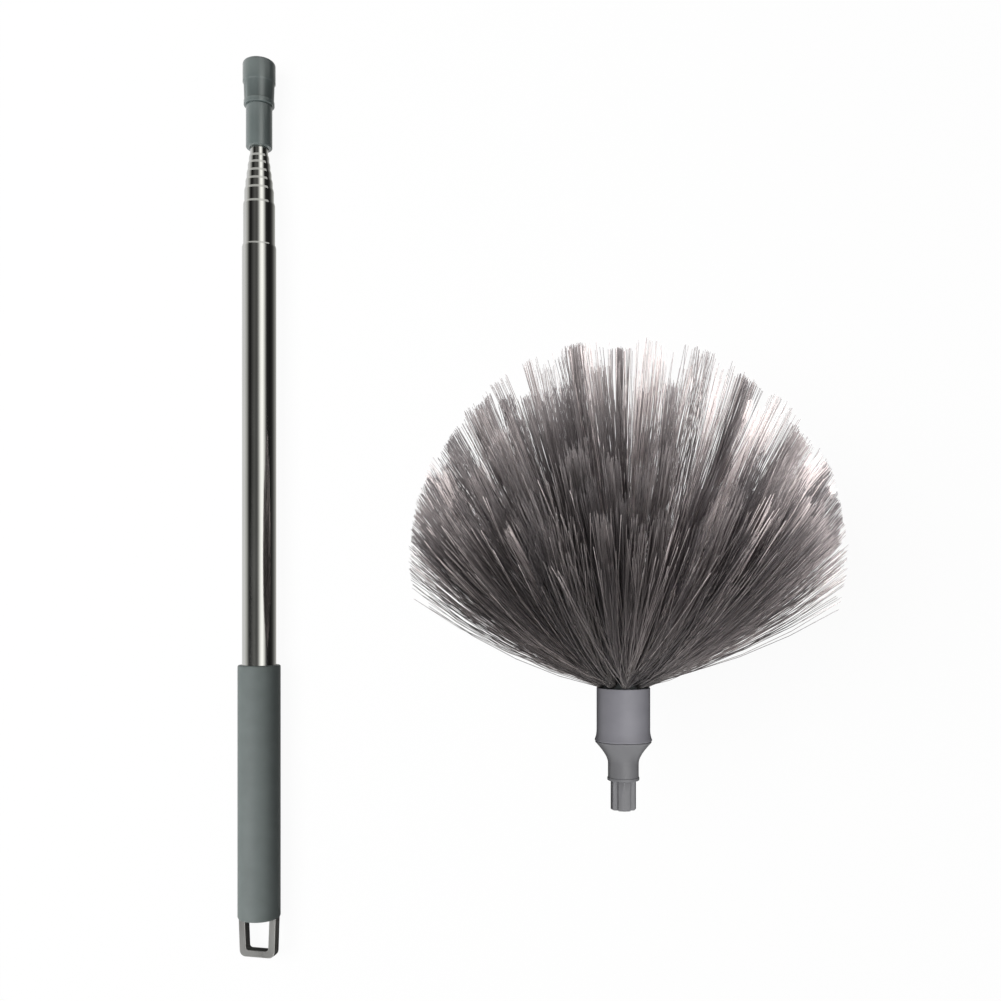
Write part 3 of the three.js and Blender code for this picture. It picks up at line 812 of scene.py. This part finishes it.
def make_floor():
    around = ((-1, -1), (1, -1), (1, 1), (-1, 1))
    corners = [(x * FLOOR_SIDE, y * FLOOR_SIDE, -FLOOR_DROP) for x, y in around]
    floor = mesh_object("floor", corners, [(0, 1, 2, 3)])
    material, tree, shader = shade("pale_floor", 0.9)
    shader.inputs["Base Color"].default_value = FLOOR_COLOUR
    shader.inputs["Specular IOR Level"].default_value = 0
    glow = tree.nodes.new("ShaderNodeEmission")
    blend = tree.nodes.new("ShaderNodeMixShader")
    part = tree.nodes.new("ShaderNodeMath")
    part.operation = "MULTIPLY"
    part.inputs[1].default_value = FLOOR_GLOW
    tree.links.new(background_rays(tree), part.inputs[0])
    tree.links.new(part.outputs[0], blend.inputs[0])
    tree.links.new(shader.outputs[0], blend.inputs[1])
    tree.links.new(glow.outputs[0], blend.inputs[2])
    tree.links.new(blend.outputs[0], tree.nodes["Material Output"].inputs["Surface"])
    floor.data.materials.append(material)
    floor.visible_diffuse = False
    return floor


def make_card(name, edge, glow, front, back):
    """A glowing card that only reflections see. Its edge, of (x, z) points, runs from front to back."""
    count = len(edge)
    vertices = [(x, y, z) for y in (front, back) for x, z in edge]
    card = mesh_object(name, vertices, [(k, k + 1, k + 1 + count, k + count) for k in range(count - 1)])
    attribute = card.data.attributes.new("glow", "FLOAT", "POINT")
    attribute.data.foreach_set("value", np.array([*glow, *glow], np.float32))
    material = bpy.data.materials.new(name)
    material.use_nodes = True
    tree = material.node_tree
    tree.nodes.clear()
    brightness = tree.nodes.new("ShaderNodeAttribute")
    brightness.attribute_name = "glow"
    emission = tree.nodes.new("ShaderNodeEmission")
    emission.inputs["Color"].default_value = CARD_COLOUR
    tree.links.new(brightness.outputs["Fac"], emission.inputs["Strength"])
    tree.links.new(emission.outputs[0], tree.nodes.new("ShaderNodeOutputMaterial").inputs["Surface"])
    card.data.materials.append(material)
    card.visible_camera = card.visible_diffuse = card.visible_shadow = card.visible_transmission = False


def make_tunnel(name, front, back, paleness):
    """Light and dark cards in an arch over the pole, whose bands show in its steel."""
    degrees = np.linspace(TUNNEL[0][0], TUNNEL[-1][0], TUNNEL_STEPS)
    turns = np.radians(degrees)
    arch_x = pole_axis[0] + TUNNEL_RADIUS * np.sin(turns)
    arch_z = pole_axis[1] + TUNNEL_RADIUS * np.cos(turns)
    edge = list(zip(arch_x, arch_z))
    bands = np.interp(degrees, *zip(*TUNNEL))
    make_card(name, edge, bands + (1 - bands) * paleness, front, back)


def make_flat_card(name, stops, height, front, back):
    distances, glow = zip(*stops)
    make_card(name, [(pole_axis[0] + d, height) for d in distances], glow, front, back)


def make_lamp(name, place, target, size, power, lit, gloss):
    """A soft lamp for some of the pieces."""
    lamp = bpy.data.lights.new(name, "AREA")
    lamp.shape = "RECTANGLE"
    lamp.size, lamp.size_y = size
    lamp.energy = power
    holder = bpy.data.objects.new(name, lamp)
    bpy.context.scene.collection.objects.link(holder)
    holder.location = place
    holder.rotation_euler = (Vector(target) - Vector(place)).to_track_quat("-Z", "Y").to_euler()
    holder.visible_glossy = gloss
    receivers = bpy.data.collections.new(f"{name}_receivers")
    for piece in lit:
        receivers.objects.link(piece)
    holder.light_linking.receiver_collection = receivers


def make_camera():
    camera = bpy.data.cameras.new("camera")
    camera.sensor_width = SENSOR
    camera.lens = SENSOR * FOCAL_LENGTH / IMAGE_SIDE
    camera.shift_y = (PICTURE_Y - CAMERA_Y) / CAMERA_HEIGHT * FOCAL_LENGTH / IMAGE_SIDE
    holder = bpy.data.objects.new("camera", camera)
    bpy.context.scene.collection.objects.link(holder)
    holder.location = (pole_axis[0] + CAMERA_FROM_POLE, CAMERA_Y, pole_axis[1] + CAMERA_HEIGHT)
    bpy.context.scene.camera = holder


make_world()
floor = make_floor()
for number, tunnel in enumerate(TUNNELS, 1):
    make_tunnel(f"tunnel_{number}", *tunnel)
make_flat_card("table_card", TABLE_CARD, CARD_HEIGHT, grip_low.y, TABLE_CARD_BACK)
make_flat_card("loop_card", LOOP_CARD, CARD_HEIGHT, loop_low.y - LOOP_CARD_REACH, grip_low.y)
bristle_pieces = [piece for piece in dressed["brush_head"] if piece.data.materials[0] == bristle_plastic]
hub_pieces = [piece for piece in dressed["brush_head"] if piece not in bristle_pieces]
hub_pieces.append(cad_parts["hub_screw"])
pole_pieces = [piece for body, pieces in dressed.items() if body != "brush_head" for piece in pieces]
pole_pieces += [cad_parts[node] for node in INSIDE if node != "hub_screw"]
AIM_Y = -0.05
pole_place = (pole_axis[0], AIM_Y, pole_axis[1])
head_place = (head_axis[0], AIM_Y, head_axis[1])
head_x = head_axis[0]
LAMPS = [  # name, place, target, size, power in watts, what it lights and whether reflections see it
    ("pole_key", (-1.02, -0.5, 1.0), pole_place, (0.9, 1.4), 17, pole_pieces, True),
    ("hub_key", (head_x, -0.45, 1.25), head_place, (0.5, 0.5), 13, hub_pieces, False),
    ("bristles_key", (head_x, 0.55, 1.3), head_place, (0.5, 0.5), 1, bristle_pieces, False),
    ("bristles_left", (-0.95, 0.1, 0.3), head_place, (0.3, 0.6), 8, bristle_pieces, False),
    ("bristles_right", (1.08, 0.1, 0.3), head_place, (0.3, 0.6), 27, bristle_pieces, False),
    ("bristles_top", (head_x, 1.15, 0.2), head_place, (0.6, 0.3), 32, bristle_pieces, False),
    ("bristles_foot", (head_x, -1.2, 0.3), head_place, (0.6, 0.3), 6, bristle_pieces, False),
    ("floor_key", (-0.9, 0.1, 1.8), (0, 0, 0), (1.2, 1.2), 42, [floor], False),
]
for lamp in LAMPS:
    make_lamp(*lamp)
make_camera()
bpy.context.scene.view_settings.view_transform = "Standard"
